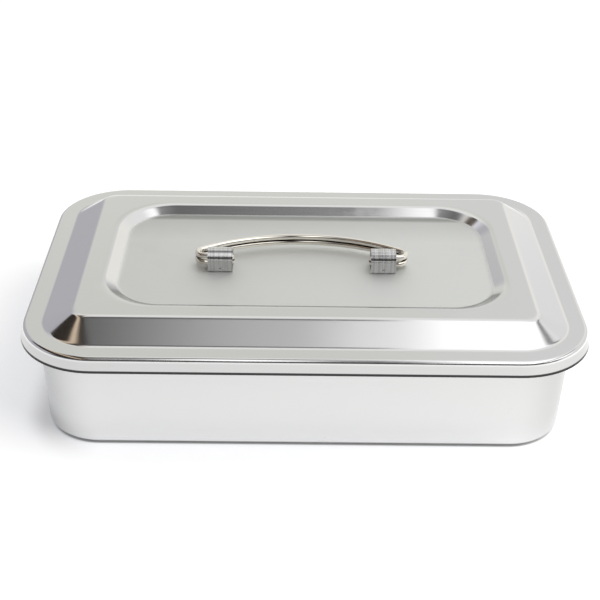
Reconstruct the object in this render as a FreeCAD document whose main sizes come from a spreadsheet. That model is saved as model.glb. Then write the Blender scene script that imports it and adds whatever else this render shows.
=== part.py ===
import FreeCAD, Part
import math
import os
import re

import Sketcher
from FreeCAD import Vector

# Sterilization container: a deep-drawn stainless tray, a stamped lid that drops over the
# tray's rim, and a wire bail that swings in two folded strap clips welded to the lid.
# The origin lies on the table under the centre of the tray. X runs along the length,
# Y to the back and Z up. All sizes are in millimetres.

doc = FreeCAD.newDocument("sterilization_container")
sizes = doc.addObject("Spreadsheet::Sheet", "Sizes")

DRIVING_SIZES = (
    ("sheet", 0.8, "thickness of the stainless sheet of tray and lid"),
    ("tray_height", 59.8, "table to the top of the tray's rim"),
    ("tray_length", 285.2, "outside of the tray's wall, under the rim"),
    ("tray_width", 185.2, "outside of the tray's wall, under the rim"),
    ("tray_corner", 33.0, "outside corner radius of the wall, under the rim"),
    ("tray_draft", 2.0, "how far each wall leans in from rim to floor"),
    ("tray_floor_round", 4.5, "outside radius between the wall and the floor"),
    ("rim_reach", 5.6, "how far the tray's rim stands out of the wall"),
    ("rim_lip", 4.2, "height of the rim with its turned-down lip"),
    ("rim_round", 1.4, "outside radius of the rim's bend"),
    ("lid_length", 304.0, "outside of the lid at the lower edge of its skirt"),
    ("lid_width", 204.0, "outside of the lid at the lower edge of its skirt"),
    ("lid_corner", 42.3, "outside corner radius at the skirt's lower edge"),
    ("skirt_height", 8.2, "lower edge of the skirt to the top of the ledge"),
    ("skirt_flare", 1.7, "how far the skirt spreads on each side"),
    ("ledge_round", 2.2, "outside radius between the ledge and the skirt"),
    ("ledge_width", 11.0, "ledge between the skirt's top and the bevel's foot"),
    ("foot_corner", 28.5, "corner radius at the bevel's foot"),
    ("foot_round", 5.5, "hollow radius along the bevel's foot"),
    ("bevel_run", 16.3, "width of the bevel, seen from above"),
    ("bevel_height", 8.8, "ledge to the raised top of the lid"),
    ("crown_corner", 7.5, "corner radius of the raised top"),
    ("crown_round", 7.0, "outside radius between the bevel and the top"),
    ("end_border", 11.9, "raised border left and right of the recess"),
    ("side_border", 11.8, "raised border before and behind the recess"),
    ("recess_corner", 32.5, "corner radius of the recess, at its upper edge"),
    ("recess_run", 7.5, "width of the recess's sloping wall, from above"),
    ("recess_depth", 4.5, "raised top to the floor of the recess"),
    ("recess_rim_round", 6.2, "outside radius along the recess's upper edge"),
    ("recess_floor_round", 4.5, "hollow radius along the recess's lower edge"),
    ("seat_gap", 0.3, "clearance between the ledge's underside and the rim"),
    ("clip_sheet", 0.8, "thickness of the clip's strap"),
    ("clip_width", 14.0, "width of the strap, along the lid"),
    ("clip_depth", 12.0, "front to back over the folded strap"),
    ("clip_height", 12.2, "recess floor to the top of the fold"),
    ("clip_foot", 5.5, "length of each welded foot, turned in under the wires"),
    ("clip_bend", 1.2, "outside radius where the leaves turn into the feet"),
    ("clip_spacing", 91.6, "centre to centre of the two clips"),
    ("clip_front", 16.8, "front of the clips before the lid's middle"),
    ("dimple_width", 2.0, "diameter of the punched dimple"),
    ("dimple_depth", 0.35, "depth of the punched dimple"),
    ("dimple_height", 3.0, "recess floor to the middle of the dimple"),
    ("handle_shift", -2.0, "the clips sit a little left of the lid's middle"),
    ("wire", 3.2, "diameter of the bail's wire"),
    ("wire_gap", 0.1, "gap between the two runs of wire over the grip"),
    ("bail_reach", 24.9, "pivot to the wire's centre line at the crest"),
    ("bail_span", 117.8, "over the centre lines of the two curled ends"),
    ("curl_radius", 4.4, "centre-line radius of each curled end"),
    ("curl_tilt", 3.2, "degrees by which each curl spreads the two runs"),
    ("pivot_back", 6.3, "front of the clip to the pivot"),
    ("seat_clearance", 0.3, "gap between the turning wires and the clips' feet"),
    ("bow_proud", 1.0, "how far the closed end stands out of the clip"),
)


# Two places closer together than this count as one when an edge is looked up.
SAME_PLACE = 0.01


def fill_sheet(rows):
    """Write one row for each driving size: its name, its value and what it measures."""
    for number, (alias, value, meaning) in enumerate(rows, start=1):
        sizes.set("A%d" % number, alias)
        sizes.set("B%d" % number, str(value))
        sizes.set("C%d" % number, meaning)
        sizes.setAlias("B%d" % number, alias)
    doc.recompute()


def size(expression):
    """The number that an expression of the sheet's names comes to."""
    return float(sizes.evalExpression(expression))


def bound(expression):
    """The same expression as the other objects of the document have to write it."""
    names = "|".join(alias for alias, _, _ in DRIVING_SIZES)
    return re.sub(r"\b(%s)\b" % names, r"Sizes.\1", expression)


def new_body(label):
    body = doc.addObject("PartDesign::Body", label)
    body.Label = label
    return body


def sketch_on(body, name, role):
    """An empty sketch on one of the body's own origin planes."""
    sketch = body.newObject("Sketcher::SketchObject", name)
    plane = next(item for item in body.Origin.OriginFeatures if item.Role == role)
    sketch.AttachmentSupport = [(plane, "")]
    sketch.MapMode = "FlatFace"
    return sketch


def name_and_bind(sketch, constraint, name, expression):
    index = sketch.addConstraint(constraint)
    sketch.renameConstraint(index, name)
    sketch.setExpression("Constraints." + name, bound(expression))


def add_rounded_rectangle(sketch, prefix, length, width, corner):
    """Draw a centred rectangle with round corners, each size tied to the sheet."""
    half_x = size(length) / 2
    half_y = size(width) / 2
    radius = size(corner)
    inner_x = half_x - radius
    inner_y = half_y - radius
    sides = (
        (Vector(-inner_x, -half_y), Vector(inner_x, -half_y)),
        (Vector(half_x, -inner_y), Vector(half_x, inner_y)),
        (Vector(inner_x, half_y), Vector(-inner_x, half_y)),
        (Vector(-half_x, inner_y), Vector(-half_x, -inner_y)),
    )
    centres = (
        Vector(inner_x, -inner_y), Vector(inner_x, inner_y),
        Vector(-inner_x, inner_y), Vector(-inner_x, -inner_y),
    )
    first = sketch.GeometryCount
    for turn, ((start, end), centre) in enumerate(zip(sides, centres)):
        angle = math.radians(90 * turn - 90)
        circle = Part.Circle(centre, Vector(0, 0, 1), radius)
        sketch.addGeometry(Part.LineSegment(start, end), False)
        sketch.addGeometry(Part.ArcOfCircle(circle, angle, angle + math.pi / 2), False)
    bottom, corner_arc, right, top, left = first, first + 1, first + 2, first + 4, first + 6
    for step in range(8):
        following = first + (step + 1) % 8
        sketch.addConstraint(Sketcher.Constraint("Tangent", first + step, 2, following, 1))
    for arc in (3, 5, 7):
        sketch.addConstraint(Sketcher.Constraint("Equal", corner_arc, first + arc))
    sketch.addConstraint(Sketcher.Constraint("Symmetric", bottom, 1, bottom, 2, -2))
    sketch.addConstraint(Sketcher.Constraint("Symmetric", right, 1, right, 2, -1))
    sketch.addConstraint(Sketcher.Constraint("Horizontal", top))
    sketch.addConstraint(Sketcher.Constraint("Vertical", left))
    name_and_bind(sketch, Sketcher.Constraint("DistanceX", left, 1, right, 1, 2 * half_x),
                  prefix + "length", length)
    name_and_bind(sketch, Sketcher.Constraint("DistanceY", bottom, 1, top, 1, 2 * half_y),
                  prefix + "width", width)
    name_and_bind(sketch, Sketcher.Constraint("Radius", corner_arc, radius),
                  prefix + "corner", corner)


def outline(body, name, length, width, corner, level):
    """One level of a pressed form: a rounded rectangle at a height above the table."""
    sketch = sketch_on(body, name, "XY_Plane")
    add_rounded_rectangle(sketch, "", length, width, corner)
    sketch.setExpression(".AttachmentOffset.Base.z", bound(level))
    return sketch


def loft(body, name, kind, lower, upper):
    feature = body.newObject("PartDesign::" + kind, name)
    feature.Profile = lower
    feature.Sections = [(upper, [""])]
    feature.Ruled = True
    doc.recompute()
    return feature


def distance_from_outline(point, length, width, corner):
    """How far a point lies outside a centred rounded rectangle, seen from above."""
    over_x = abs(point.x) - size(length) / 2 + size(corner)
    over_y = abs(point.y) - size(width) / 2 + size(corner)
    outside = math.hypot(max(over_x, 0), max(over_y, 0))
    return outside + min(max(over_x, over_y), 0) - size(corner)


def round_outline(body, name, base, form, level, radius):
    """Round the edge that runs along one outline at one level."""
    height = size(level)
    picked = []
    for number, edge in enumerate(base.Shape.Edges, start=1):
        middle = edge.valueAt((edge.FirstParameter + edge.LastParameter) / 2)
        flat = abs(edge.BoundBox.ZMin - height) + abs(edge.BoundBox.ZMax - height) < SAME_PLACE
        if flat and abs(distance_from_outline(middle, *form)) < SAME_PLACE:
            picked.append("Edge%d" % number)
    feature = body.newObject("PartDesign::Fillet", name)
    feature.Base = (base, picked)
    feature.setExpression("Radius", bound(radius))
    doc.recompute()
    return feature


def grown(form, margin):
    """The same rounded rectangle with its line moved outward by a margin."""
    length, width, corner = form
    return (
        "(%s) + 2 * (%s)" % (length, margin),
        "(%s) + 2 * (%s)" % (width, margin),
        "(%s) + (%s)" % (corner, margin),
    )


fill_sheet(DRIVING_SIZES)

# Heights above the table that several pieces share.
LIP_LEVEL = "tray_height - rim_lip"
LEDGE_LEVEL = "tray_height + seat_gap + sheet"
HEM_LEVEL = LEDGE_LEVEL + " - skirt_height"
CROWN_LEVEL = LEDGE_LEVEL + " + bevel_height"
RECESS_LEVEL = CROWN_LEVEL + " - recess_depth"

# Outlines seen from above. The wall of the tray is measured just under its rim.
TABLE_LEVEL = "0"
WALL = ("tray_length", "tray_width", "tray_corner")
FLOOR = grown(WALL, "-tray_draft")
RIM = grown(WALL, "rim_reach")
HEM = ("lid_length", "lid_width", "lid_corner")
LEDGE = grown(HEM, "-skirt_flare")
FOOT = grown(LEDGE, "-ledge_width")[:2] + ("foot_corner",)
CROWN = grown(FOOT, "-bevel_run")[:2] + ("crown_corner",)
RECESS = (
    "%s - 2 * end_border" % CROWN[0],
    "%s - 2 * side_border" % CROWN[1],
    "recess_corner",
)
RECESS_FLOOR = grown(RECESS, "-recess_run")


def tray_form(label, skin):
    """One side of the drawn tray: the outside for a skin of 0, the inside for the sheet."""
    body = new_body(label)
    lean = "(%s) * hypot(tray_draft; %s) / (%s)" % (skin, LIP_LEVEL, LIP_LEVEL)
    wall = grown(WALL, "-" + lean)
    floor = grown(wall, "-tray_draft * (%s - %s) / (%s)" % (LIP_LEVEL, skin, LIP_LEVEL))
    floor_outline = outline(body, label + "_floor", *floor, skin)
    wall_outline = outline(body, label + "_wall", *wall, LIP_LEVEL)
    drawn = loft(body, label + "_drawn", "AdditiveLoft", floor_outline, wall_outline)
    upper = wall if skin != TABLE_LEVEL else RIM
    collar = body.newObject("PartDesign::Pad", label + "_collar")
    collar.Profile = outline(body, label + "_collar_line", *upper, LIP_LEVEL)
    collar.setExpression("Length", bound("rim_lip"))
    doc.recompute()
    bend = round_outline(body, label + "_bend", collar, floor, skin, "tray_floor_round - %s" % skin)
    body.Tip = bend
    doc.recompute()
    return body, bend


def cut_part(label, outside, inside):
    """A piece of sheet: its outside less the room inside it."""
    piece = doc.addObject("Part::Cut", label)
    piece.Label = label
    piece.Base = outside
    piece.Tool = inside
    doc.recompute()
    return piece


# Tray. A deep rectangular tray drawn from one stainless sheet: a flat floor, walls that
# lean out a little and a rim turned outward and down, on which the lid sits.
tray_outside, rim_block = tray_form("tray_outside", TABLE_LEVEL)
rim_block = round_outline(tray_outside, "rim_bend", rim_block, RIM, "tray_height", "rim_round")
under_rim = sketch_on(tray_outside, "under_rim_line", "XY_Plane")
add_rounded_rectangle(under_rim, "wall_", *WALL)
add_rounded_rectangle(under_rim, "lip_", *grown(RIM, "-sheet"))
under_rim.setExpression(".AttachmentOffset.Base.z", bound(LIP_LEVEL))
channel = tray_outside.newObject("PartDesign::Pocket", "under_rim")
channel.Profile = under_rim
channel.Reversed = True
channel.setExpression("Length", bound("rim_lip - sheet"))
doc.recompute()
channel = round_outline(tray_outside, "under_rim_bend", channel, grown(RIM, "-sheet"),
                        "tray_height - sheet", "rim_round - sheet")
tray_outside.Tip = channel
tray_inside, room = tray_form("tray_inside", "sheet")
tray = cut_part("tray", tray_outside, tray_inside)


def lid_form(label, skin):
    """One side of the pressed lid: the outside for a skin of 0, the inside for the sheet."""
    body = new_body(label)
    lean = "(%s) * hypot(skirt_flare; skirt_height) / skirt_height" % skin
    bevel_shift = "(%s) * tan(atan(bevel_height / bevel_run) / 2)" % skin
    recess_shift = "(%s) * tan(atan(recess_depth / recess_run) / 2)" % skin
    ledge_level = "%s - %s" % (LEDGE_LEVEL, skin)
    crown_level = "%s - %s" % (CROWN_LEVEL, skin)
    recess_level = "%s - %s" % (RECESS_LEVEL, skin)
    hem = grown(HEM, "-" + lean)
    ledge = grown(hem, "-skirt_flare * (skirt_height - %s) / skirt_height" % skin)
    foot = grown(FOOT, "-" + bevel_shift)
    crown = grown(CROWN, "-" + bevel_shift)
    recess = grown(RECESS, recess_shift)
    recess_floor = grown(RECESS_FLOOR, recess_shift)

    hem_line = outline(body, label + "_hem_line", *hem, HEM_LEVEL)
    ledge_line = outline(body, label + "_ledge_line", *ledge, ledge_level)
    form = loft(body, label + "_skirt", "AdditiveLoft", hem_line, ledge_line)
    foot_line = outline(body, label + "_foot_line", *foot, ledge_level)
    crown_line = outline(body, label + "_crown_line", *crown, crown_level)
    form = loft(body, label + "_bevel", "AdditiveLoft", foot_line, crown_line)
    bends = (
        ("_foot_bend", foot, ledge_level, "foot_round + %s" % skin),
        ("_crown_bend", crown, crown_level, "crown_round - %s" % skin),
        ("_ledge_bend", ledge, ledge_level, "ledge_round - %s" % skin),
    )
    for name, line, level, radius in bends:
        form = round_outline(body, label + name, form, line, level, radius)
    recess_line = outline(body, label + "_recess_line", *recess, crown_level)
    floor_line = outline(body, label + "_recess_floor_line", *recess_floor, recess_level)
    form = loft(body, label + "_recess", "SubtractiveLoft", floor_line, recess_line)
    form = round_outline(body, label + "_recess_rim_bend", form, recess, crown_level,
                         "recess_rim_round - %s" % skin)
    form = round_outline(body, label + "_recess_floor_bend", form, recess_floor, recess_level,
                         "recess_floor_round + %s" % skin)
    body.Tip = form
    doc.recompute()
    return body


# Lid. One sheet pressed in steps: a flared skirt, a flat ledge, a long bevel that runs from
# a widely rounded foot up to a nearly square raised top, and a round-cornered recess.
lid = cut_part("lid", lid_form("lid_outside", "0"), lid_form("lid_inside", "sheet"))


def add_arch(sketch, half_width, bottom, spring, names):
    """Draw a straight-sided arch with a half-round top; its sizes are tied to the sheet."""
    half = size(half_width)
    low = size(bottom)
    high = size(spring)
    middle = size("clip_depth / 2")
    points = (
        Vector(middle - half, low), Vector(middle + half, low),
        Vector(middle + half, high), Vector(middle - half, high),
    )
    circle = Part.Circle(Vector(middle, high), Vector(0, 0, 1), half)
    sketch.addGeometry(Part.LineSegment(points[0], points[1]), False)
    sketch.addGeometry(Part.LineSegment(points[1], points[2]), False)
    sketch.addGeometry(Part.ArcOfCircle(circle, 0, math.pi), False)
    sketch.addGeometry(Part.LineSegment(points[3], points[0]), False)
    sketch.addConstraint(Sketcher.Constraint("Coincident", 0, 2, 1, 1))
    sketch.addConstraint(Sketcher.Constraint("Tangent", 1, 2, 2, 1))
    sketch.addConstraint(Sketcher.Constraint("Tangent", 2, 2, 3, 1))
    sketch.addConstraint(Sketcher.Constraint("Coincident", 3, 2, 0, 1))
    sketch.addConstraint(Sketcher.Constraint("Horizontal", 0))
    sketch.addConstraint(Sketcher.Constraint("Vertical", 1))
    sketch.addConstraint(Sketcher.Constraint("Vertical", 3))
    name_and_bind(sketch, Sketcher.Constraint("Radius", 2, half), names + "round", half_width)
    name_and_bind(sketch, Sketcher.Constraint("DistanceX", -1, 1, 2, 3, middle),
                  names + "middle", "clip_depth / 2")
    name_and_bind(sketch, Sketcher.Constraint("DistanceY", -1, 1, 2, 3, high),
                  names + "spring", spring)
    if low:
        name_and_bind(sketch, Sketcher.Constraint("DistanceY", -1, 1, 0, 1, low),
                      names + "bottom", bottom)
    else:
        sketch.addConstraint(Sketcher.Constraint("PointOnObject", 0, 1, -1))


def along_strap(body, kind, name, sketch, width):
    """Pad or pocket a side view evenly to both sides of the strap's middle."""
    feature = body.newObject("PartDesign::" + kind, name)
    feature.Profile = sketch
    feature.SideType = "Symmetric"
    feature.setExpression("Length", bound(width))
    doc.recompute()
    return feature


def bend_strap(body, name, base, across, level, radius):
    """Round the two bends that run along X at one height, at given distances from the front."""
    picked = []
    for number, edge in enumerate(base.Shape.Edges, start=1):
        box = edge.BoundBox
        for distance in across:
            off = abs(box.YMin - size(distance)) + abs(box.YMax - size(distance))
            off += abs(box.ZMin - size(level)) + abs(box.ZMax - size(level))
            if off < SAME_PLACE:
                picked.append("Edge%d" % number)
    feature = body.newObject("PartDesign::Fillet", name)
    feature.Base = (base, picked)
    feature.setExpression("Radius", bound(radius))
    doc.recompute()
    return feature


def build_clip(label, side):
    """A strap folded over the wires, its two ends turned in and welded to the recess."""
    body = new_body(label)
    spring = "clip_height - clip_depth / 2"
    outer_view = sketch_on(body, label + "_outer_view", "YZ_Plane")
    add_arch(outer_view, "clip_depth / 2", "0", spring, "outer_")
    strap = along_strap(body, "Pad", label + "_fold", outer_view, "clip_width")
    inner_view = sketch_on(body, label + "_inner_view", "YZ_Plane")
    add_arch(inner_view, "clip_depth / 2 - clip_sheet", "clip_sheet", spring, "inner_")
    strap = along_strap(body, "Pocket", label + "_room", inner_view, "clip_width + 2 * clip_sheet")
    strap = bend_strap(body, label + "_inner_bends", strap,
                       ("clip_sheet", "clip_depth - clip_sheet"), "clip_sheet", "clip_bend - clip_sheet")
    strap = bend_strap(body, label + "_outer_bends", strap, ("0", "clip_depth"), "0", "clip_bend")

    slot_view = sketch_on(body, label + "_foot_gap_view", "XY_Plane")
    add_rectangle(slot_view, "clip_width", "clip_depth - 2 * clip_foot", "clip_depth / 2")
    slot = body.newObject("PartDesign::Pocket", label + "_foot_gap")
    slot.Profile = slot_view
    slot.Reversed = True
    slot.setExpression("Length", bound("clip_sheet"))
    doc.recompute()

    dimple_view = sketch_on(body, label + "_dimple_view", "XZ_Plane")
    dimple_view.addGeometry(Part.Circle(Vector(0, size("dimple_height")), Vector(0, 0, 1),
                                        size("dimple_width / 2")), False)
    dimple_view.addConstraint(Sketcher.Constraint("PointOnObject", 0, 3, -2))
    name_and_bind(dimple_view, Sketcher.Constraint("DistanceY", -1, 1, 0, 3, size("dimple_height")),
                  "height", "dimple_height")
    name_and_bind(dimple_view, Sketcher.Constraint("Diameter", 0, size("dimple_width")),
                  "width", "dimple_width")
    dimple = body.newObject("PartDesign::Pocket", label + "_dimple")
    dimple.Profile = dimple_view
    dimple.setExpression("Length", bound("dimple_depth"))
    body.Tip = dimple
    doc.recompute()
    place = {"x": "handle_shift + %d * clip_spacing / 2" % side, "y": "-clip_front", "z": RECESS_LEVEL}
    for axis, expression in place.items():
        body.setExpression(".Placement.Base." + axis, bound(expression))
    doc.recompute()
    return body


def add_rectangle(sketch, length, width, middle):
    """Draw a rectangle centred on the sketch's upright axis, its middle at a given height."""
    half_x = size(length) / 2
    half_y = size(width) / 2
    height = size(middle)
    corners = (
        Vector(-half_x, height - half_y), Vector(half_x, height - half_y),
        Vector(half_x, height + half_y), Vector(-half_x, height + half_y),
    )
    for turn in range(4):
        sketch.addGeometry(Part.LineSegment(corners[turn], corners[(turn + 1) % 4]), False)
    for turn in range(4):
        sketch.addConstraint(Sketcher.Constraint("Coincident", turn, 2, (turn + 1) % 4, 1))
    sketch.addConstraint(Sketcher.Constraint("Symmetric", 0, 1, 0, 2, -2))
    sketch.addConstraint(Sketcher.Constraint("Vertical", 1))
    sketch.addConstraint(Sketcher.Constraint("Horizontal", 2))
    sketch.addConstraint(Sketcher.Constraint("Vertical", 3))
    name_and_bind(sketch, Sketcher.Constraint("DistanceX", 0, 1, 0, 2, 2 * half_x), "length", length)
    name_and_bind(sketch, Sketcher.Constraint("DistanceY", 1, 1, 1, 2, 2 * half_y), "width", width)
    name_and_bind(sketch, Sketcher.Constraint("DistanceY", -1, 1, 0, 1, height - half_y),
                  "start", "%s - (%s) / 2" % (middle, width))


# Clips. Two short straps of thin sheet, folded over the bail's ends and welded by their feet.
clips = [build_clip("left_clip", -1), build_clip("right_clip", 1)]


def at(along, out, up):
    """A point of the bail: along its pivot, out from the pivot and up from its middle."""
    return Vector(along, out, up)


def arc_between(centre, start, heading, radius, turn):
    """An arc that leaves a start point along a heading; gives its edge, end and end heading."""
    spoke = (start - centre).normalize()
    points = []
    for share in (0.5, 1.0):
        angle = turn * share
        points.append(centre + spoke * radius * math.cos(angle) + heading * radius * math.sin(angle))
    end_heading = heading * math.cos(turn) - spoke * math.sin(turn)
    return Part.Arc(start, points[0], points[1]).toShape(), points[1], end_heading


def bail_half():
    """Right half of the loop's centre line, and the radius of the bow that closes it.

    From the crest it follows the arch, the curl and the straight leg, turns back through
    the bow and returns the same way below. The pivot is the origin.
    """
    rise = size("(wire + wire_gap) / 2")
    reach = size("bail_reach")
    curl = size("curl_radius")
    curl_x = size("bail_span / 2 - curl_radius")
    drop = reach - curl
    arch = (drop ** 2 + curl_x ** 2 - curl ** 2) / (2 * (drop - curl))
    slope = math.asin(curl_x / (arch - curl))
    tilt = math.radians(size("curl_tilt"))

    crest = at(0, reach, rise)
    forward, joint, heading = arc_between(at(0, reach - arch, rise), crest, Vector(1, 0, 0), arch, slope)
    inward = Vector(-math.sin(slope) * math.cos(tilt), -math.cos(slope) * math.cos(tilt), math.sin(tilt))
    curled, leg_start, leg_heading = arc_between(
        joint + inward * curl, joint, heading, curl, math.pi - slope)
    steep = leg_heading.z
    level_run = math.hypot(leg_heading.x, leg_heading.y)
    widening = (1 + steep) / level_run
    closed_x = size("(clip_spacing - clip_width) / 2 - bow_proud + wire / 2")
    to_cover = leg_start.x - closed_x
    leg = (to_cover - leg_start.z * widening) / (level_run + steep * widening)
    leg_end = leg_start + leg_heading * leg
    bow = leg_end.z / level_run
    straight = Part.LineSegment(leg_start, leg_end).toShape()
    down = Vector(leg_heading.x * steep / level_run, leg_heading.y * steep / level_run, -level_run)
    closed, back_start, back_heading = arc_between(
        leg_end + down * bow, leg_end, leg_heading, bow, math.pi + 2 * math.asin(steep))
    upper = [forward, curled, straight]
    lower = [edge.mirror(Vector(0, 0, 0), Vector(0, 0, 1)) for edge in reversed(upper)]
    return Part.Wire(upper + [closed] + lower), bow


# Bail. One closed loop of wire: two runs lie side by side over the grip, curl round at both
# ends, run back into the clips and join in a narrow bow. One half is swept, then mirrored.
# It swings about an axis along X and, folded back, lies level with its runs one above the
# other. The pivot is as high as the bow needs to clear the clips' feet on its way round.
half_line, bow_radius = bail_half()
PIVOT = Vector(
    size("handle_shift"),
    size("pivot_back - clip_front"),
    size("%s + clip_sheet + seat_clearance + wire / 2" % RECESS_LEVEL) + bow_radius,
)
bail_line = doc.addObject("Part::Feature", "bail_line")
bail_line.Shape = half_line
bail_line.Placement = FreeCAD.Placement(PIVOT, FreeCAD.Rotation())
wire_section = doc.addObject("Part::Circle", "wire_section")
wire_section.setExpression("Radius", bound("wire / 2"))
wire_section.Placement = FreeCAD.Placement(
    PIVOT + at(0, size("bail_reach"), size("(wire + wire_gap) / 2")),
    FreeCAD.Rotation(Vector(0, 1, 0), 90),
)
doc.recompute()
bail_right = doc.addObject("Part::Sweep", "bail_right")
bail_right.Sections = [wire_section]
bail_right.Spine = (bail_line, ["Edge%d" % (n + 1) for n in range(len(bail_line.Shape.Edges))])
bail_right.Solid = True
bail_right.Frenet = False
doc.recompute()
bail_left = doc.addObject("Part::Mirroring", "bail_left")
bail_left.Source = bail_right
bail_left.Base = PIVOT
bail_left.Normal = Vector(1, 0, 0)
bail_handle = doc.addObject("Part::Fuse", "bail_handle")
bail_handle.Label = "bail_handle"
bail_handle.Base = bail_right
bail_handle.Tool = bail_left
bail_handle.Refine = True
doc.recompute()


def check_everything():
    """Stop if any object reports an error, or if any solid is missing or unsound."""
    for item in doc.Objects:
        if "Invalid" in item.State or "Error" in item.State:
            raise RuntimeError(item.Name + " did not rebuild")
        if item.TypeId.startswith(("Part::", "PartDesign::")):
            if item.Shape.isNull() or not item.Shape.isValid():
                raise RuntimeError(item.Name + " has no sound shape")


check_everything()
os.makedirs("parts", exist_ok=True)
for piece in (tray, lid, *clips, bail_handle):
    piece.Shape.exportStep("parts/%s.step" % piece.Label)
    print(piece.Label, len(piece.Shape.Solids), round(piece.Shape.Volume))
print("pivot", PIVOT)
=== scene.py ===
import math

import bpy
from mathutils import Matrix, Vector


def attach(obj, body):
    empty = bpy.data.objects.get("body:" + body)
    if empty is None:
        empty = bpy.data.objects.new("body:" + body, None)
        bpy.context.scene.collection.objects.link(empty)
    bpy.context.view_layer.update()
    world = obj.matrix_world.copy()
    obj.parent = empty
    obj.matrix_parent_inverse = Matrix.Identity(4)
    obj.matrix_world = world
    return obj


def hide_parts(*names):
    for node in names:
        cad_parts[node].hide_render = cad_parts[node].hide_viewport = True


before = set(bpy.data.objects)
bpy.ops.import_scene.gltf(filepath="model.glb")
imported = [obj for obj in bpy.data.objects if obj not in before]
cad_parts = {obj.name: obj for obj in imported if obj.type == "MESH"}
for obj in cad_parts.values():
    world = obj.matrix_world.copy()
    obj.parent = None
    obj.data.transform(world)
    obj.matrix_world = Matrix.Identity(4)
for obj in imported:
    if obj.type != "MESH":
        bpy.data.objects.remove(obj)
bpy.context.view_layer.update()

# Tray: the deep tray is drawn from one stainless sheet. Its walls lean out a little, the
# floor turns up in a small bend, and the rim is turned outward and down to stiffen it.
MM = 0.001
SHEET = 0.8 * MM
TRAY_HALF_LENGTH = 142.6 * MM
TRAY_HALF_WIDTH = 92.6 * MM
TRAY_CORNER = 33.0 * MM
TRAY_DRAFT = 2.0 * MM
TRAY_HEIGHT = 59.8 * MM
TRAY_FLOOR_BEND = 4.5 * MM
RIM_REACH = 5.6 * MM
RIM_LIP = 4.2 * MM
RIM_BEND = 0.6 * MM
CORNER_STEPS = 20
BEND_MARGIN = 0.15
TRAY_FLOOR_MARGIN = 4 * TRAY_FLOOR_BEND
TRAY_BENDS = ((RIM_BEND, 4), (RIM_BEND, 4), (TRAY_FLOOR_BEND, 8))
SHEET_SMOOTHING = 40
GRAIN_DETAIL = 4
GRAIN_WEAR = 0.04
SMUDGE_SCALE = 41
SMUDGE_DETAIL = 5
SMUDGE_EDGE = (0.58, 0.72)
SMUDGE_WEAR = 0.06
SWAY_SCALE = 14
TRAY_FOOT_PAINTED_LIGHT = 0.78
TRAY_TOP_PAINTED_SHADE = 0.64
TRAY_END_PAINTED_SHADE = 0.8
TRAY_UNDER_PAINTED_SHADE = 0.3
TRAY_UNDER_SHADE_TURN = (-0.6, -0.3)
TURN_MARGIN = 2.0 * MM


def outline_points(half_length, half_width, corner, level):
    """Points round a rectangle with round corners, the same count for every outline."""
    inner_x = half_length - corner
    inner_y = half_width - corner
    points = []
    for quarter in range(4):
        start = math.radians(90 * quarter - 90)
        sign_x = 1 if quarter in (0, 1) else -1
        sign_y = 1 if quarter in (1, 2) else -1
        for step in range(CORNER_STEPS + 1):
            angle = start + math.pi / 2 * step / CORNER_STEPS
            points.append(Vector((
                sign_x * inner_x + corner * math.cos(angle),
                sign_y * inner_y + corner * math.sin(angle),
                level,
            )))
        side = 2 * (inner_x if quarter % 2 else inner_y)
        end = start + math.pi / 2
        along = Vector((-math.sin(end), math.cos(end), 0))
        last_of_turn = points[-1]
        for distance in (TURN_MARGIN, side / 3, 2 * side / 3, side - TURN_MARGIN):
            points.append(last_of_turn + along * distance)
    return points


def bent_outlines(outlines, bends):
    """The outlines of a pressed sheet, with those that make its bends round put in.

    Each outline is a half length, a half width, a corner radius and a level. A cut through
    the sheet runs straight from one to the next and turns round in an arc at each of them.
    Each bend is a radius and a count of steps.
    """
    every = [Vector(outlines[0])]
    corners = zip(outlines, outlines[1:], outlines[2:], bends)
    for before, corner, after, (radius, steps) in corners:
        corner = Vector(corner)
        back = Vector(before) - corner
        on = Vector(after) - corner
        back_cut = Vector((back[0], back[3]))
        on_cut = Vector((on[0], on[3]))
        turn = (-back_cut).angle(on_cut)
        back = back / back_cut.length
        on = on / on_cut.length
        tangent = radius * math.tan(turn / 2)
        beyond = tangent + radius * BEND_MARGIN
        every.append(corner + back * beyond)
        for step in range(steps + 1):
            part = turn * step / steps
            fallen = math.cos(turn - part) - math.cos(turn)
            share_back = tangent - radius * fallen / math.sin(turn)
            share_on = radius * (1 - math.cos(part)) / math.sin(turn)
            every.append(corner + back * share_back + on * share_on)
        every.append(corner + on * beyond)
    every.append(Vector(outlines[-1]))
    return every


def pressed_sheet(name, outlines, bends, opens_upward):
    """A sheet piece that follows the given outlines, closed in its middle."""
    rings = [outline_points(*outline) for outline in bent_outlines(outlines, bends)]
    around = len(rings[0])
    vertices = [point for ring in rings for point in ring]
    faces = []
    for lower in range(len(rings) - 1):
        start = lower * around
        for step in range(around):
            following = (step + 1) % around
            faces.append((start + step, start + following,
                          start + around + following, start + around + step))
    last = (len(rings) - 1) * around
    faces.append(tuple(range(last, last + around)))
    mesh = bpy.data.meshes.new(name)
    mesh.from_pydata(vertices, [], faces)
    if opens_upward:
        mesh.flip_normals()
    piece = bpy.data.objects.new(name, mesh)
    bpy.context.scene.collection.objects.link(piece)
    thickness = piece.modifiers.new("thickness", "SOLIDIFY")
    thickness.thickness = SHEET
    thickness.offset = -1
    thickness.use_even_offset = True
    return piece


def plain_mesh(piece, smooth_angle):
    """Apply the modifiers, then shade smooth apart from edges sharper than an angle."""
    evaluated = piece.evaluated_get(bpy.context.evaluated_depsgraph_get())
    mesh = bpy.data.meshes.new_from_object(evaluated)
    piece.modifiers.clear()
    if piece.type == "MESH":
        piece.data = mesh
    else:
        name = piece.name
        bpy.data.objects.remove(piece)
        piece = bpy.data.objects.new(name, mesh)
        bpy.context.scene.collection.objects.link(piece)
    mesh.shade_smooth()
    mesh.set_sharp_from_angle(angle=math.radians(smooth_angle))
    return piece


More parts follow.
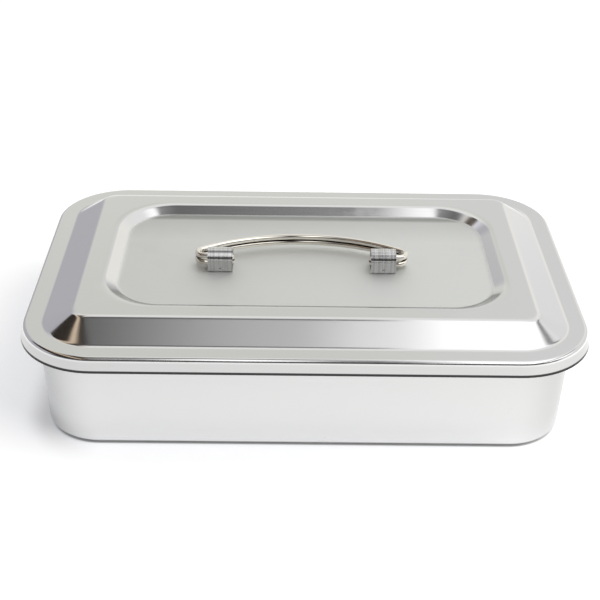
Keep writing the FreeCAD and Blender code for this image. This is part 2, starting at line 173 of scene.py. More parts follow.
def feed(tree, socket, value):
    """Give a socket another node's output, or else a plain value."""
    if isinstance(value, bpy.types.NodeSocket):
        tree.links.new(value, socket)
    else:
        socket.default_value = value


def worked_out(tree, kind, *values):
    """A number worked out from others."""
    step = tree.nodes.new("ShaderNodeMath")
    step.operation = kind
    for socket, value in zip(step.inputs, values):
        feed(tree, socket, value)
    return step.outputs["Value"]


def ease(tree, value, low, high, at_low, at_high, course="SMOOTHSTEP"):
    """A number that goes from one level to another between two limits."""
    step = tree.nodes.new("ShaderNodeMapRange")
    step.interpolation_type = course
    feed(tree, step.inputs["Value"], value)
    feed(tree, step.inputs["From Min"], low)
    feed(tree, step.inputs["From Max"], high)
    feed(tree, step.inputs["To Min"], at_low)
    feed(tree, step.inputs["To Max"], at_high)
    return step.outputs["Result"]


def parts_of(tree, vector):
    """The X, the Y and the Z of a vector."""
    step = tree.nodes.new("ShaderNodeSeparateXYZ")
    tree.links.new(vector, step.inputs["Vector"])
    return step.outputs


def noise(tree, where, scale, detail):
    """An uneven pattern without a direction."""
    step = tree.nodes.new("ShaderNodeTexNoise")
    step.inputs["Scale"].default_value = scale
    step.inputs["Detail"].default_value = detail
    tree.links.new(where, step.inputs["Vector"])
    return step.outputs["Fac"]


def relief(tree, height, depth):
    """A pattern felt as raised and sunk places, at full strength."""
    step = tree.nodes.new("ShaderNodeBump")
    step.inputs["Strength"].default_value = 1
    step.inputs["Distance"].default_value = depth
    tree.links.new(height, step.inputs["Height"])
    return step


def steel(name, roughness, grain_scale, grain_depth, sway_depth):
    """Stainless sheet or wire: fine grain along one direction, a few duller smudges, and a
    faint waviness. Each piece gives it its own tone."""
    material = bpy.data.materials.new(name)
    material.use_nodes = True
    tree = material.node_tree
    shader = tree.nodes["Principled BSDF"]
    shader.inputs["Metallic"].default_value = 1
    spot = tree.nodes.new("ShaderNodeTexCoord").outputs["Object"]
    stretch = tree.nodes.new("ShaderNodeMapping")
    stretch.inputs["Scale"].default_value = grain_scale
    tree.links.new(spot, stretch.inputs["Vector"])
    grain = noise(tree, stretch.outputs["Vector"], 1, GRAIN_DETAIL)
    grain.node.name = "grain"
    wear = ease(tree, grain, 0, 1, roughness - GRAIN_WEAR, roughness + GRAIN_WEAR, "LINEAR")
    smudges = noise(tree, spot, SMUDGE_SCALE, SMUDGE_DETAIL)
    dulled = ease(tree, smudges, *SMUDGE_EDGE, 0, SMUDGE_WEAR, "LINEAR")
    worn = worked_out(tree, "ADD", wear, dulled)
    worn.node.name = "worn"
    tree.links.new(worn, shader.inputs["Roughness"])
    swayed = relief(tree, noise(tree, spot, SWAY_SCALE, 1), sway_depth)
    brushed = relief(tree, grain, grain_depth)
    tree.links.new(swayed.outputs["Normal"], brushed.inputs["Normal"])
    tree.links.new(brushed.outputs["Normal"], shader.inputs["Normal"])
    return material


def tray_outline(outward, level):
    return (TRAY_HALF_LENGTH + outward, TRAY_HALF_WIDTH + outward, TRAY_CORNER + outward, level)


tray = pressed_sheet(
    "tray_shell",
    (
        tray_outline(RIM_REACH - SHEET, TRAY_HEIGHT - RIM_LIP),
        tray_outline(RIM_REACH - SHEET, TRAY_HEIGHT - SHEET),
        tray_outline(0, TRAY_HEIGHT - SHEET),
        tray_outline(-TRAY_DRAFT, 0),
        tray_outline(-TRAY_FLOOR_MARGIN, 0),
    ),
    TRAY_BENDS,
    True,
)
tray = plain_mesh(tray, SHEET_SMOOTHING)
tray_steel = steel("tray_steel", roughness=0.22, grain_scale=(40, 40, 900),
                   grain_depth=0.002 * MM, sway_depth=0.3 * MM)
# Painted light and shade: the wall is paler at its foot, a little darker at the ends, and dark
# where it turns under. These stand in for what the wall reflects and for the contact shade at its
# foot.
tree = tray_steel.node_tree
spot = tree.nodes["Texture Coordinate"]
place = parts_of(tree, spot.outputs["Object"])
facing = parts_of(tree, spot.outputs["Normal"])
painted_wall_shade = ease(tree, place["Z"], 0, TRAY_HEIGHT, TRAY_FOOT_PAINTED_LIGHT, TRAY_TOP_PAINTED_SHADE, "LINEAR")
painted_end_shade = ease(tree, worked_out(tree, "ABSOLUTE", place["X"]),
                TRAY_HALF_LENGTH - TRAY_CORNER, TRAY_HALF_LENGTH, 1, TRAY_END_PAINTED_SHADE)
tone = worked_out(tree, "MULTIPLY", painted_wall_shade, painted_end_shade)
tone = ease(tree, facing["Z"], *TRAY_UNDER_SHADE_TURN, TRAY_UNDER_PAINTED_SHADE, tone, "LINEAR")
tree.links.new(tone, tree.nodes["Principled BSDF"].inputs["Base Color"])
tray.data.materials.append(tray_steel)
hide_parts("tray")
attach(tray, "tray_body")

# Lid: pressed from one sheet. A flared skirt hangs over the tray's rim, a flat ledge leads
# to a long bevel, and the raised top holds a round-cornered recess for the handle.
LID_HALF_LENGTH = 152.0 * MM
LID_HALF_WIDTH = 102.0 * MM
LID_CORNER = 42.3 * MM
LEDGE_LEVEL = 60.9 * MM
SKIRT_HEIGHT = 8.2 * MM
SKIRT_FLARE = 1.7 * MM
LEDGE_WIDTH = 11.0 * MM
FOOT_CORNER = 28.5 * MM
BEVEL_RUN = 16.3 * MM
BEVEL_HEIGHT = 8.8 * MM
CROWN_CORNER = 7.5 * MM
END_BORDER = 11.9 * MM
SIDE_BORDER = 11.8 * MM
RECESS_CORNER = 32.5 * MM
RECESS_RUN = 7.5 * MM
RECESS_DEPTH = 4.5 * MM
PANEL_MARGIN = 12.0 * MM
LID_BENDS = ((2.2 * MM, 8), (5.5 * MM, 8), (7.0 * MM, 10), (6.2 * MM, 12), (4.5 * MM, 8))
LID_TONE = 0.78
SKIRT_PAINTED_SHADE = 0.58
SKIRT_TURN = (LEDGE_LEVEL - 2.6 * MM, LEDGE_LEVEL - 1.6 * MM)
HEM_PAINTED_SHADOW = 0.05
HEM_SHADOW_EDGE = (LEDGE_LEVEL - SKIRT_HEIGHT + 1.2 * MM, LEDGE_LEVEL - SKIRT_HEIGHT + 1.5 * MM)
SATIN_WEAR = 0.52
SATIN_GAIN = 0.14
SATIN_TINT = (("Red", -0.01), ("Green", 0.012), ("Blue", -0.02))
SATIN_REFLECTION_FADE = (22 * MM, 52 * MM)
SATIN_BACK_PAINTED_REFLECTION = -0.6
WALL_REFLECTION_BAND = (48 * MM, 51 * MM)
WALL_PAINTED_REFLECTION = -4.0
RECESS_RIM_TURN = (0.1, 0.25)
RECESS_RIM_SHADE = 0.6
RIM_ALLOWANCE = 2.0 * MM

crown_level = LEDGE_LEVEL + BEVEL_HEIGHT
recess_level = crown_level - RECESS_DEPTH
foot_inset = SKIRT_FLARE + LEDGE_WIDTH
crown_inset = foot_inset + BEVEL_RUN
satin_edge = (recess_level + 0.1 * MM, recess_level + 0.8 * MM)


def lid_outline(inset_x, inset_y, corner, level):
    return (LID_HALF_LENGTH - inset_x, LID_HALF_WIDTH - inset_y, corner, level)


lid = pressed_sheet(
    "lid_shell",
    (
        lid_outline(0, 0, LID_CORNER, LEDGE_LEVEL - SKIRT_HEIGHT),
        lid_outline(SKIRT_FLARE, SKIRT_FLARE, LID_CORNER - SKIRT_FLARE, LEDGE_LEVEL),
        lid_outline(foot_inset, foot_inset, FOOT_CORNER, LEDGE_LEVEL),
        lid_outline(crown_inset, crown_inset, CROWN_CORNER, crown_level),
        lid_outline(crown_inset + END_BORDER, crown_inset + SIDE_BORDER,
                    RECESS_CORNER, crown_level),
        lid_outline(crown_inset + END_BORDER + RECESS_RUN, crown_inset + SIDE_BORDER + RECESS_RUN,
                    RECESS_CORNER - RECESS_RUN, recess_level),
        lid_outline(crown_inset + END_BORDER + RECESS_RUN + PANEL_MARGIN,
                    crown_inset + SIDE_BORDER + RECESS_RUN + PANEL_MARGIN,
                    RECESS_CORNER - RECESS_RUN - PANEL_MARGIN, recess_level),
    ),
    LID_BENDS,
    False,
)
lid = plain_mesh(lid, SHEET_SMOOTHING)
lid_steel = steel("lid_steel", roughness=0.13, grain_scale=(40, 900, 900),
                  grain_depth=0.001 * MM, sway_depth=0.1 * MM)
# The recess's floor has a duller, satin surface; inside is 1 over the recess and 0 elsewhere.
tree = lid_steel.node_tree
shader = tree.nodes["Principled BSDF"]
spot = tree.nodes["Texture Coordinate"]
along, across, up = parts_of(tree, spot.outputs["Object"])
facing = parts_of(tree, spot.outputs["Normal"])
recess_inset = crown_inset + END_BORDER - RIM_ALLOWANCE
inside = worked_out(
    tree, "MULTIPLY",
    worked_out(tree, "COMPARE", along, 0, LID_HALF_LENGTH - recess_inset),
    worked_out(tree, "COMPARE", across, 0, LID_HALF_WIDTH - recess_inset))
satin = ease(tree, up, *satin_edge, SATIN_WEAR, 0, "LINEAR")
satin = worked_out(tree, "MULTIPLY", satin, inside)
duller = worked_out(tree, "ADD", tree.nodes["worn"].outputs["Value"], satin)
tree.links.new(duller, shader.inputs["Roughness"])
# Its tone, mostly painted shade: a painted dark shadow line in the hem, painted shade on the
# skirt, pale above, and painted shade on the recess's front wall. The satin floor is paler, with
# a painted reflection of the back wall that is darkest at its back.
tone = ease(tree, up, *SKIRT_TURN, SKIRT_PAINTED_SHADE, LID_TONE, "LINEAR")
tone = ease(tree, up, *HEM_SHADOW_EDGE, HEM_PAINTED_SHADOW, tone, "LINEAR")
rim_shade = ease(tree, facing["Y"], *RECESS_RIM_TURN, 0, RECESS_RIM_SHADE, "LINEAR")
rim_shade = worked_out(tree, "MULTIPLY", rim_shade, inside)
kept_light = worked_out(tree, "SUBTRACT", 1, rim_shade)
tone = worked_out(tree, "MULTIPLY", tone, kept_light)
satin_tone_and_painted_reflection = ease(tree, across, *SATIN_REFLECTION_FADE, 1, SATIN_BACK_PAINTED_REFLECTION, "LINEAR")
satin_tone_and_painted_reflection = ease(tree, across, *WALL_REFLECTION_BAND, satin_tone_and_painted_reflection, WALL_PAINTED_REFLECTION, "LINEAR")
satin_tone_and_painted_reflection = worked_out(tree, "MULTIPLY", satin, satin_tone_and_painted_reflection)
tone = worked_out(tree, "MULTIPLY_ADD", satin_tone_and_painted_reflection, SATIN_GAIN, tone)
lid_colour = tree.nodes.new("ShaderNodeCombineColor")
for channel, tint in SATIN_TINT:
    feed(tree, lid_colour.inputs[channel], worked_out(tree, "MULTIPLY_ADD", satin, tint, tone))
tree.links.new(lid_colour.outputs["Color"], shader.inputs["Base Color"])
lid.data.materials.append(lid_steel)
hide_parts("lid")
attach(lid, "lid_body")

# Clips: two short straps of the same sheet, folded over the wires so that the bail can turn
# inside them. Both ends are turned in and spot-welded to the recess; each has a dimple.
CLIP_SHEET = 0.8 * MM
CLIP_WIDTH = 14.0 * MM
CLIP_DEPTH = 12.0 * MM
CLIP_HEIGHT = 12.2 * MM
CLIP_FOOT = 5.5 * MM
CLIP_BEND = 1.2 * MM
CLIP_SPACING = 91.6 * MM
CLIP_FRONT = -16.8 * MM
HANDLE_SHIFT = -2.0 * MM
DIMPLE_WIDTH = 2.0 * MM
DIMPLE_DEPTH = 0.35 * MM
DIMPLE_HEIGHT = 3.0 * MM
STRAP_FOOT_STEPS = 5
STRAP_FOLD_STEPS = 24
STRAP_SMOOTHING = 25
PUNCH_STEPS = 32
STREAK_EDGE = (0.35, 0.65)
STREAK_TONES = (0.52, 0.72)


def arc(centre, radius, start, end, steps):
    """Points along a round bend, seen from the side; angles in degrees."""
    for step in range(steps + 1):
        angle = math.radians(start + (end - start) * step / steps)
        yield Vector((
            0,
            centre[0] + radius * math.cos(angle),
            centre[1] + radius * math.sin(angle),
        ))


def line_object(name, points, cyclic):
    """A bare line through points, as a curve that a node tree can give its body."""
    curve = bpy.data.curves.new(name, "CURVE")
    curve.dimensions = "3D"
    spline = curve.splines.new("POLY")
    spline.points.add(len(points) - 1)
    for point, place in zip(spline.points, points):
        point.co = (*place, 1)
    spline.use_cyclic_u = cyclic
    piece = bpy.data.objects.new(name, curve)
    bpy.context.scene.collection.objects.link(piece)
    return piece


def node_tree(name, **numbers):
    """An empty node tree from geometry to geometry with named number inputs."""
    tree = bpy.data.node_groups.new(name, "GeometryNodeTree")
    tree.interface.new_socket("Geometry", in_out="INPUT", socket_type="NodeSocketGeometry")
    for label, value in numbers.items():
        socket = tree.interface.new_socket(
            label, in_out="INPUT", socket_type="NodeSocketFloat")
        socket.default_value = value
    tree.interface.new_socket("Geometry", in_out="OUTPUT", socket_type="NodeSocketGeometry")
    return tree, tree.nodes.new("NodeGroupInput"), tree.nodes.new("NodeGroupOutput")


def finish_tree(tree, last, output, material):
    """End a tree in real geometry with its material."""
    real = tree.nodes.new("GeometryNodeRealizeInstances")
    coat = tree.nodes.new("GeometryNodeSetMaterial")
    coat.inputs["Material"].default_value = material
    tree.links.new(last, real.inputs["Geometry"])
    tree.links.new(real.outputs["Geometry"], coat.inputs["Geometry"])
    tree.links.new(coat.outputs["Geometry"], output.inputs["Geometry"])


middle = CLIP_DEPTH / 2
half_sheet = CLIP_SHEET / 2
fold = middle - half_sheet
turn = CLIP_BEND - half_sheet
strap_points = [Vector((0, CLIP_FOOT, half_sheet))]
strap_points += arc((CLIP_BEND, CLIP_BEND), turn, 270, 180, STRAP_FOOT_STEPS)
strap_points += arc((middle, CLIP_HEIGHT - middle), fold, 180, 0, STRAP_FOLD_STEPS)
strap_points += arc((CLIP_DEPTH - CLIP_BEND, CLIP_BEND), turn, 0, -90, STRAP_FOOT_STEPS)
strap_points.append(Vector((0, CLIP_DEPTH - CLIP_FOOT, half_sheet)))
strap_place = Vector((HANDLE_SHIFT, CLIP_FRONT, recess_level))
straps = line_object("clip_straps", [strap_place + point for point in strap_points], False)

# Grain along the strap, seen as light and darker streaks.
clip_steel = steel("clip_steel", roughness=0.19, grain_scale=(1500, 40, 40),
                   grain_depth=0.008 * MM, sway_depth=0)
tree = clip_steel.node_tree
grain = tree.nodes["grain"].outputs["Fac"]
streaks = ease(tree, grain, *STREAK_EDGE, *STREAK_TONES, "LINEAR")
tree.links.new(streaks, tree.nodes["Principled BSDF"].inputs["Base Color"])
ball_radius = (DIMPLE_WIDTH ** 2 / 4 + DIMPLE_DEPTH ** 2) / (2 * DIMPLE_DEPTH)
tree, given, output = node_tree(
    "folded_straps", Width=CLIP_WIDTH, Sheet=CLIP_SHEET, Spacing=CLIP_SPACING, Punch=ball_radius)
section = tree.nodes.new("GeometryNodeCurvePrimitiveQuadrilateral")
tree.links.new(given.outputs["Width"], section.inputs["Width"])
tree.links.new(given.outputs["Sheet"], section.inputs["Height"])
sweep = tree.nodes.new("GeometryNodeCurveToMesh")
sweep.inputs["Fill Caps"].default_value = True
tree.links.new(given.outputs["Geometry"], sweep.inputs["Curve"])
tree.links.new(section.outputs["Curve"], sweep.inputs["Profile Curve"])
stations = tree.nodes.new("GeometryNodeMeshLine")
stations.mode = "END_POINTS"
stations.inputs["Count"].default_value = 2
first_place = tree.nodes.new("ShaderNodeCombineXYZ")
between = tree.nodes.new("ShaderNodeCombineXYZ")
spacing = given.outputs["Spacing"]
tree.links.new(worked_out(tree, "MULTIPLY", spacing, -0.5), first_place.inputs["X"])
tree.links.new(worked_out(tree, "MULTIPLY", spacing, 0.5), between.inputs["X"])
tree.links.new(first_place.outputs["Vector"], stations.inputs["Start Location"])
tree.links.new(between.outputs["Vector"], stations.inputs["Offset"])
punch = tree.nodes.new("GeometryNodeMeshUVSphere")
punch.inputs["Segments"].default_value = PUNCH_STEPS
punch.inputs["Rings"].default_value = PUNCH_STEPS
tree.links.new(given.outputs["Punch"], punch.inputs["Radius"])
at_front = tree.nodes.new("GeometryNodeTransform")
at_front.inputs["Translation"].default_value = (
    HANDLE_SHIFT, CLIP_FRONT + DIMPLE_DEPTH - ball_radius, recess_level + DIMPLE_HEIGHT)
tree.links.new(punch.outputs["Mesh"], at_front.inputs["Geometry"])
dimpled = tree.nodes.new("GeometryNodeMeshBoolean")
dimpled.operation = "DIFFERENCE"
tree.links.new(sweep.outputs["Mesh"], dimpled.inputs["Mesh 1"])
tree.links.new(at_front.outputs["Geometry"], dimpled.inputs["Mesh 2"])
copies = tree.nodes.new("GeometryNodeInstanceOnPoints")
tree.links.new(stations.outputs["Mesh"], copies.inputs["Points"])
tree.links.new(dimpled.outputs["Mesh"], copies.inputs["Instance"])
finish_tree(tree, copies.outputs["Instances"], output, clip_steel)
shaping = straps.modifiers.new("shape", "NODES")
shaping.node_group = tree
straps = plain_mesh(straps, STRAP_SMOOTHING)
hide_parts("left_clip", "right_clip")
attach(straps, "lid_body")

# Bail: one closed loop of bright stainless wire. Two runs lie side by side over the grip,
# curl round at both ends, and join in narrow bows that turn loosely inside the clips.
WIRE = 3.2 * MM
WIRE_GAP = 0.1 * MM
BAIL_REACH = 24.9 * MM
BAIL_SPAN = 117.8 * MM
CURL_RADIUS = 4.4 * MM
CURL_TILT = 3.2
BOW_PROUD = 1.0 * MM
PIVOT = Vector((HANDLE_SHIFT, -10.5 * MM, 70.384 * MM))
GRIP_STEPS = 24
CURL_STEPS = 24
BOW_STEPS = 12
WIRE_SIDES = 24
WIRE_SMOOTHING = 60
WIRE_COLOUR = (0.90, 0.86, 0.78, 1)
SEAM_PAINTED_SHADE = (0.1, 0.07, 0.045, 1)
SEAM_SHADE_EDGE = (0.35 * MM, 0.7 * MM)


def follow(start, centre, heading, angle, steps):
    """Points after a start point on a bend that leaves it along a heading; last heading too."""
    spoke = start - centre
    radius = spoke.length
    spoke = spoke.normalized()
    points = []
    for step in range(1, steps + 1):
        part = angle * step / steps
        points.append(centre + (spoke * math.cos(part) + heading * math.sin(part)) * radius)
    return points, heading * math.cos(angle) - spoke * math.sin(angle)


def bail_quarter():
    """The upper run's right half, from the crest to the clip, then half of the bow."""
    rise = (WIRE + WIRE_GAP) / 2
    curl_x = BAIL_SPAN / 2 - CURL_RADIUS
    drop = BAIL_REACH - CURL_RADIUS
    arch = (drop ** 2 + curl_x ** 2 - CURL_RADIUS ** 2) / (2 * (drop - CURL_RADIUS))
    slope = math.asin(curl_x / (arch - CURL_RADIUS))
    tilt = math.radians(CURL_TILT)
    crest = Vector((0, BAIL_REACH, rise))
    grip_centre = Vector((0, BAIL_REACH - arch, rise))
    grip, heading = follow(crest, grip_centre, Vector((1, 0, 0)), slope, GRIP_STEPS)
    inward = Vector((-math.sin(slope) * math.cos(tilt), -math.cos(slope) * math.cos(tilt),
                     math.sin(tilt)))
    curl_centre = grip[-1] + inward * CURL_RADIUS
    curl, heading = follow(grip[-1], curl_centre, heading, math.pi - slope, CURL_STEPS)
    level_run = math.hypot(heading.x, heading.y)
    widening = (1 + heading.z) / level_run
    closed_x = (CLIP_SPACING - CLIP_WIDTH) / 2 - BOW_PROUD + WIRE / 2
    leg = (curl[-1].x - closed_x - curl[-1].z * widening) / (level_run + heading.z * widening)
    leg_end = curl[-1] + heading * leg
    bow = leg_end.z / level_run
    down = Vector((heading.x * heading.z / level_run,
                   heading.y * heading.z / level_run, -level_run))
    half_turn = math.pi / 2 + math.asin(heading.z)
    round_bow, heading = follow(leg_end, leg_end + down * bow, heading, half_turn, BOW_STEPS)
    return [crest] + grip + curl + [leg_end] + round_bow


def blend(tree, share, first, second):
    """A colour between two others."""
    step = tree.nodes.new("ShaderNodeMix")
    step.data_type = "RGBA"
    feed(tree, step.inputs["Factor"], share)
    feed(tree, step.inputs["A"], first)
    feed(tree, step.inputs["B"], second)
    return step.outputs["Result"]


quarter = bail_quarter()
right = quarter + [Vector((p.x, p.y, -p.z)) for p in reversed(quarter[:-1])]
loop = right + [Vector((-p.x, p.y, p.z)) for p in reversed(right[1:-1])]
bail = line_object("bail_wire", [PIVOT + point for point in loop], True)
wire_steel = steel("wire_steel", roughness=0.06, grain_scale=(300, 300, 300),
                   grain_depth=0.002 * MM, sway_depth=0)
# Painted shade: the narrow gap between the two runs is painted dark.
tree = wire_steel.node_tree
place = parts_of(tree, tree.nodes["Texture Coordinate"].outputs["Object"])
off_seam = worked_out(tree, "ABSOLUTE", worked_out(tree, "SUBTRACT", place["Z"], PIVOT.z))
outside_painted_seam_shade = ease(tree, off_seam, *SEAM_SHADE_EDGE, 0, 1, "LINEAR")
wire_colour = blend(tree, outside_painted_seam_shade, SEAM_PAINTED_SHADE, WIRE_COLOUR)
tree.links.new(wire_colour, tree.nodes["Principled BSDF"].inputs["Base Color"])
tree, given, output = node_tree("bent_wire", Radius=WIRE / 2)
section = tree.nodes.new("GeometryNodeCurvePrimitiveCircle")
section.inputs["Resolution"].default_value = WIRE_SIDES
sweep = tree.nodes.new("GeometryNodeCurveToMesh")
tree.links.new(given.outputs["Radius"], section.inputs["Radius"])
tree.links.new(given.outputs["Geometry"], sweep.inputs["Curve"])
tree.links.new(section.outputs["Curve"], sweep.inputs["Profile Curve"])
finish_tree(tree, sweep.outputs["Mesh"], output, wire_steel)
shaping = bail.modifiers.new("shape", "NODES")
shaping.node_group = tree
bail = plain_mesh(bail, WIRE_SMOOTHING)
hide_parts("bail_handle")
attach(bail, "bail_body")

# Floor: a plain white table. A glow makes it white to the camera and to the polished sheet.
# Painted shadow and light: the glow is weak under the tray and beside its left end, where the
# tray shades the table, and a little stronger along the rest of its foot.
FLOOR_HALF = 6.0
FLOOR_COLOUR = (0.57, 0.56, 0.53, 1)
GLOW_COLOUR = (0.96, 0.98, 1.03, 1)
GLOW = 0.55
GLOW_IN_PAINTED_CONTACT_SHADOW = 0.14
PAINTED_LIGHT_GLOW_AT_FOOT = 0.64
PAINTED_SHADOW_GLOW_AT_END = 0.3
CONTACT_SHADOW_EDGE = (TRAY_CORNER - TRAY_DRAFT - 1.6 * MM, TRAY_CORNER - TRAY_DRAFT - 0.4 * MM)
FOOT_PAINTED_SHADE_REACH = 15 * MM

table_mesh = bpy.data.meshes.new("table")
table_mesh.from_pydata(
    [(-FLOOR_HALF, -FLOOR_HALF, 0), (FLOOR_HALF, -FLOOR_HALF, 0),
     (FLOOR_HALF, FLOOR_HALF, 0), (-FLOOR_HALF, FLOOR_HALF, 0)], [], [(0, 1, 2, 3)])
table = bpy.data.objects.new("table", table_mesh)
bpy.context.scene.collection.objects.link(table)
table_paint = bpy.data.materials.new("table_paint")
table_paint.use_nodes = True
# Reach is measured from the rectangle through the centres of the tray's round corners, so it
# is the same all along the tray's foot.
tree = table_paint.node_tree
tree.nodes.clear()
spot = tree.nodes.new("ShaderNodeTexCoord").outputs["Object"]
outside = spot
for operation, numbers in (
        ("ABSOLUTE", (0, 0, 0)),
        ("SUBTRACT", (TRAY_HALF_LENGTH - TRAY_CORNER, TRAY_HALF_WIDTH - TRAY_CORNER, 0)),
        ("MAXIMUM", (0, 0, 0))):
    step = tree.nodes.new("ShaderNodeVectorMath")
    step.operation = operation
    tree.links.new(outside, step.inputs[0])
    step.inputs[1].default_value = numbers
    outside = step.outputs["Vector"]
reach = tree.nodes.new("ShaderNodeVectorMath")
reach.operation = "LENGTH"
tree.links.new(outside, reach.inputs[0])
reach = reach.outputs["Value"]
# Painted shadow beside the tray's left end, painted light along the rest of its foot, and a
# painted contact shadow under its edge.
painted_foot_glow = ease(
    tree, parts_of(tree, spot)["X"], -TRAY_HALF_LENGTH, TRAY_CORNER - TRAY_HALF_LENGTH,
    PAINTED_SHADOW_GLOW_AT_END, PAINTED_LIGHT_GLOW_AT_FOOT, "LINEAR")
strength = ease(tree, reach, TRAY_CORNER - TRAY_DRAFT, TRAY_CORNER + FOOT_PAINTED_SHADE_REACH,
                painted_foot_glow, GLOW)
strength = ease(tree, reach, *CONTACT_SHADOW_EDGE, GLOW_IN_PAINTED_CONTACT_SHADOW, strength, "LINEAR")
ray = tree.nodes.new("ShaderNodeLightPath")
seen = worked_out(tree, "MAXIMUM", ray.outputs["Is Camera Ray"], ray.outputs["Is Glossy Ray"])
seen = worked_out(tree, "MAXIMUM", seen, ray.outputs["Is Transmission Ray"])
matte = tree.nodes.new("ShaderNodeBsdfDiffuse")
matte.inputs["Color"].default_value = FLOOR_COLOUR
glow = tree.nodes.new("ShaderNodeEmission")
glow.inputs["Color"].default_value = GLOW_COLOUR
tree.links.new(worked_out(tree, "MULTIPLY", seen, strength), glow.inputs["Strength"])
both = tree.nodes.new("ShaderNodeAddShader")
tree.links.new(matte.outputs["BSDF"], both.inputs[0])
tree.links.new(glow.outputs["Emission"], both.inputs[1])
surface = tree.nodes.new("ShaderNodeOutputMaterial")
tree.links.new(both.outputs["Shader"], surface.inputs["Surface"])
table_mesh.materials.append(table_paint)

# Light: a soft lamp above and to the right, and a wide diffusing panel overhead whose lit
# part lies to the right and front. Its dark left end, with one pale strip, and the room's
# walls show in the sheet.
LAMP_SIZE = 1.3
LAMP_PLACE = Vector((1.0, -0.45, 1.1))
LAMP_POWER = 22.0
PANEL_HEIGHT = 1.065
PANEL_LEFT = -1.6
PANEL_RIGHT = 1.8
PANEL_FRONT = -1.3
PANEL_BACK = 0.75
LIT = 1.6
UNLIT = 0.06
BACK_EDGE = 0.92
WOOD_EDGE = (-0.5, -0.26)
WOOD = (1.0, 0.8, 0.6, 1)
WHITE = (1, 1, 1, 1)
VIOLET_EDGE = (-0.45, -0.2)
VIOLET = (0.98, 0.97, 1.04, 1)
WARM_EDGE = (0.0, 0.25)
WARM_WHITE = (1.0, 1.0, 0.95, 1)
CREAM = (1.0, 0.98, 0.93, 1)


def graded(tree, value, level, *stops):
    """A level that changes at each stop: where it starts, where it ends, the next level."""
    for start, end, following in stops:
        level = ease(tree, value, start, end, level, following)
    return level


lamp = bpy.data.lights.new("soft_lamp", "AREA")
lamp.shape = "SQUARE"
lamp.size = LAMP_SIZE
lamp.energy = LAMP_POWER
lamp_object = bpy.data.objects.new("soft_lamp", lamp)
lamp_object.location = LAMP_PLACE
lamp_object.rotation_euler = (-LAMP_PLACE).to_track_quat("-Z", "Y").to_euler()
lamp_object.visible_glossy = False
bpy.context.scene.collection.objects.link(lamp_object)

panel_mesh = bpy.data.meshes.new("overhead_panel")
panel_mesh.from_pydata(
    [(PANEL_LEFT, PANEL_FRONT, PANEL_HEIGHT), (PANEL_LEFT, PANEL_BACK, PANEL_HEIGHT),
     (PANEL_RIGHT, PANEL_BACK, PANEL_HEIGHT), (PANEL_RIGHT, PANEL_FRONT, PANEL_HEIGHT)],
    [], [(0, 1, 2, 3)])
panel = bpy.data.objects.new("overhead_panel", panel_mesh)
bpy.context.scene.collection.objects.link(panel)
panel.visible_camera = False
panel.visible_diffuse = False
panel.visible_shadow = False
panel_light = bpy.data.materials.new("panel_light")
panel_light.use_nodes = True
tree = panel_light.node_tree
tree.nodes.clear()
# The panel's strips from the front to the back, each graded from its left to its right in
# metres from the middle; then the whole panel, with its dark left end and a grey part at right.
place = parts_of(tree, tree.nodes.new("ShaderNodeTexCoord").outputs["Object"])
across = place["X"]
along = place["Y"]
near_strip = graded(
    tree, across, 0.3, (-0.22, -0.12, 1.5), (-0.05, 0.1, 0.08), (0.16, 0.26, LIT))
middle_strip = graded(
    tree, across, UNLIT, (-0.37, 0.0, 0.56), (0.0, 0.1, 0.9), (0.12, 0.26, LIT))
seam_strip = graded(tree, across, 0.1, (-0.3, 0.1, 0.24), (0.1, 0.18, 1.3))
main_part = graded(
    tree, along, near_strip,
    (-0.35, -0.15, middle_strip), (-0.01, 0.07, seam_strip), (0.22, 0.42, BACK_EDGE))
strength = graded(
    tree, across, 0.03,
    (-0.78, -0.64, 0.75), (-0.62, -0.46, 0.05), (-0.4, -0.34, main_part),
    (0.8, 1.0, 0.3), (1.1, 1.25, main_part))
glow = tree.nodes.new("ShaderNodeEmission")
tree.links.new(strength, glow.inputs["Strength"])
panel_colour = blend(tree, ease(tree, across, *WOOD_EDGE, 0, 1), WOOD, WHITE)
tree.links.new(panel_colour, glow.inputs["Color"])
surface = tree.nodes.new("ShaderNodeOutputMaterial")
tree.links.new(glow.outputs["Emission"], surface.inputs["Surface"])
panel_mesh.materials.append(panel_light)

studio = bpy.data.worlds.new("studio")
bpy.context.scene.world = studio
studio.use_nodes = True
tree = studio.node_tree
across, along, up = parts_of(
    tree, tree.nodes.new("ShaderNodeTexCoord").outputs["Generated"])
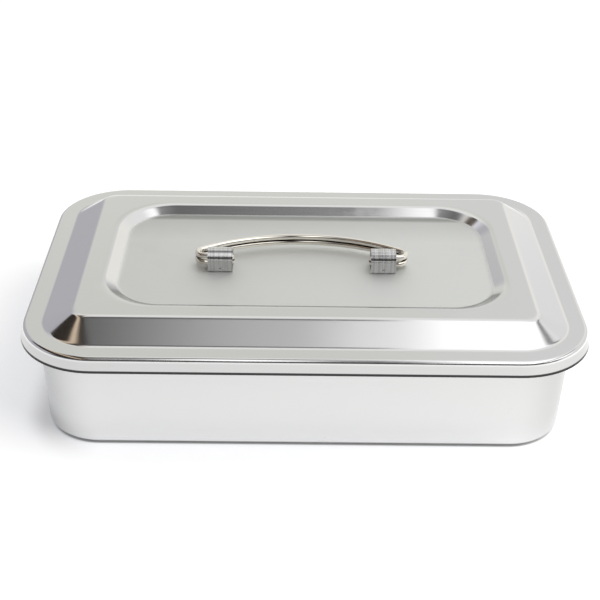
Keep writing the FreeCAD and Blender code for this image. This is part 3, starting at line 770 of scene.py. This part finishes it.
# The room by direction, from -1 to 1 each way: the back wall from left to right, with its
# lower part and its top, and then the front wall.
back_wall = graded(tree, up, 0.78, (0.42, 0.5, 0.71))
back_wall = graded(tree, across, 0.51, (-0.44, -0.2, back_wall))
low_back = graded(tree, up, 1.05, (0.12, 0.36, back_wall))
back_wall = graded(
    tree, across, back_wall,
    (-0.25, -0.15, low_back), (0.0, 0.2, 0.77), (0.24, 0.34, 0.98), (0.42, 0.52, 0.86))
back_wall = graded(tree, up, back_wall, (0.55, 0.75, BACK_EDGE))
front_wall = graded(tree, up, 0.75, (0.05, 0.2, 0.06))
room = graded(tree, along, front_wall, (-0.5, -0.2, back_wall))
walls = tree.nodes["Background"]
tree.links.new(room, walls.inputs["Strength"])
wall_colour = blend(tree, ease(tree, across, *VIOLET_EDGE, 0, 1), VIOLET, WARM_WHITE)
wall_colour = blend(tree, ease(tree, across, *WARM_EDGE, 0, 1), wall_colour, WHITE)
cream_share = graded(tree, across, 0, (0.26, 0.32, 1), (0.42, 0.48, 0))
wall_colour = blend(tree, cream_share, wall_colour, CREAM)
tree.links.new(wall_colour, walls.inputs["Color"])

# Camera: above and in front, with the long edges nearly level, as in the photograph.
CAMERA_PLACE = Vector((-0.01071, -0.63254, 0.4056))
CAMERA_YAW = math.radians(0.745)
CAMERA_PITCH = math.radians(30.16)
CAMERA_ROLL = math.radians(-1.007)
SENSOR_WIDTH = 36
FOCAL_PIXELS = 1252
PICTURE_PIXELS = 600
NEAREST_SEEN = 0.01

forward = Vector((math.sin(CAMERA_YAW) * math.cos(CAMERA_PITCH),
                  math.cos(CAMERA_YAW) * math.cos(CAMERA_PITCH), -math.sin(CAMERA_PITCH)))
level_right = Vector((math.cos(CAMERA_YAW), -math.sin(CAMERA_YAW), 0))
level_down = forward.cross(level_right)
image_right = level_right * math.cos(CAMERA_ROLL) + level_down * math.sin(CAMERA_ROLL)
image_up = level_right * math.sin(CAMERA_ROLL) - level_down * math.cos(CAMERA_ROLL)
camera = bpy.data.cameras.new("camera")
camera.sensor_width = SENSOR_WIDTH
camera.lens = FOCAL_PIXELS * SENSOR_WIDTH / PICTURE_PIXELS
camera.clip_start = NEAREST_SEEN
camera_object = bpy.data.objects.new("camera", camera)
turned = Matrix((image_right, image_up, -forward)).transposed()
camera_object.matrix_world = Matrix.Translation(CAMERA_PLACE) @ turned.to_4x4()
bpy.context.scene.collection.objects.link(camera_object)
bpy.context.scene.camera = camera_object
bpy.context.scene.view_settings.view_transform = "Standard"
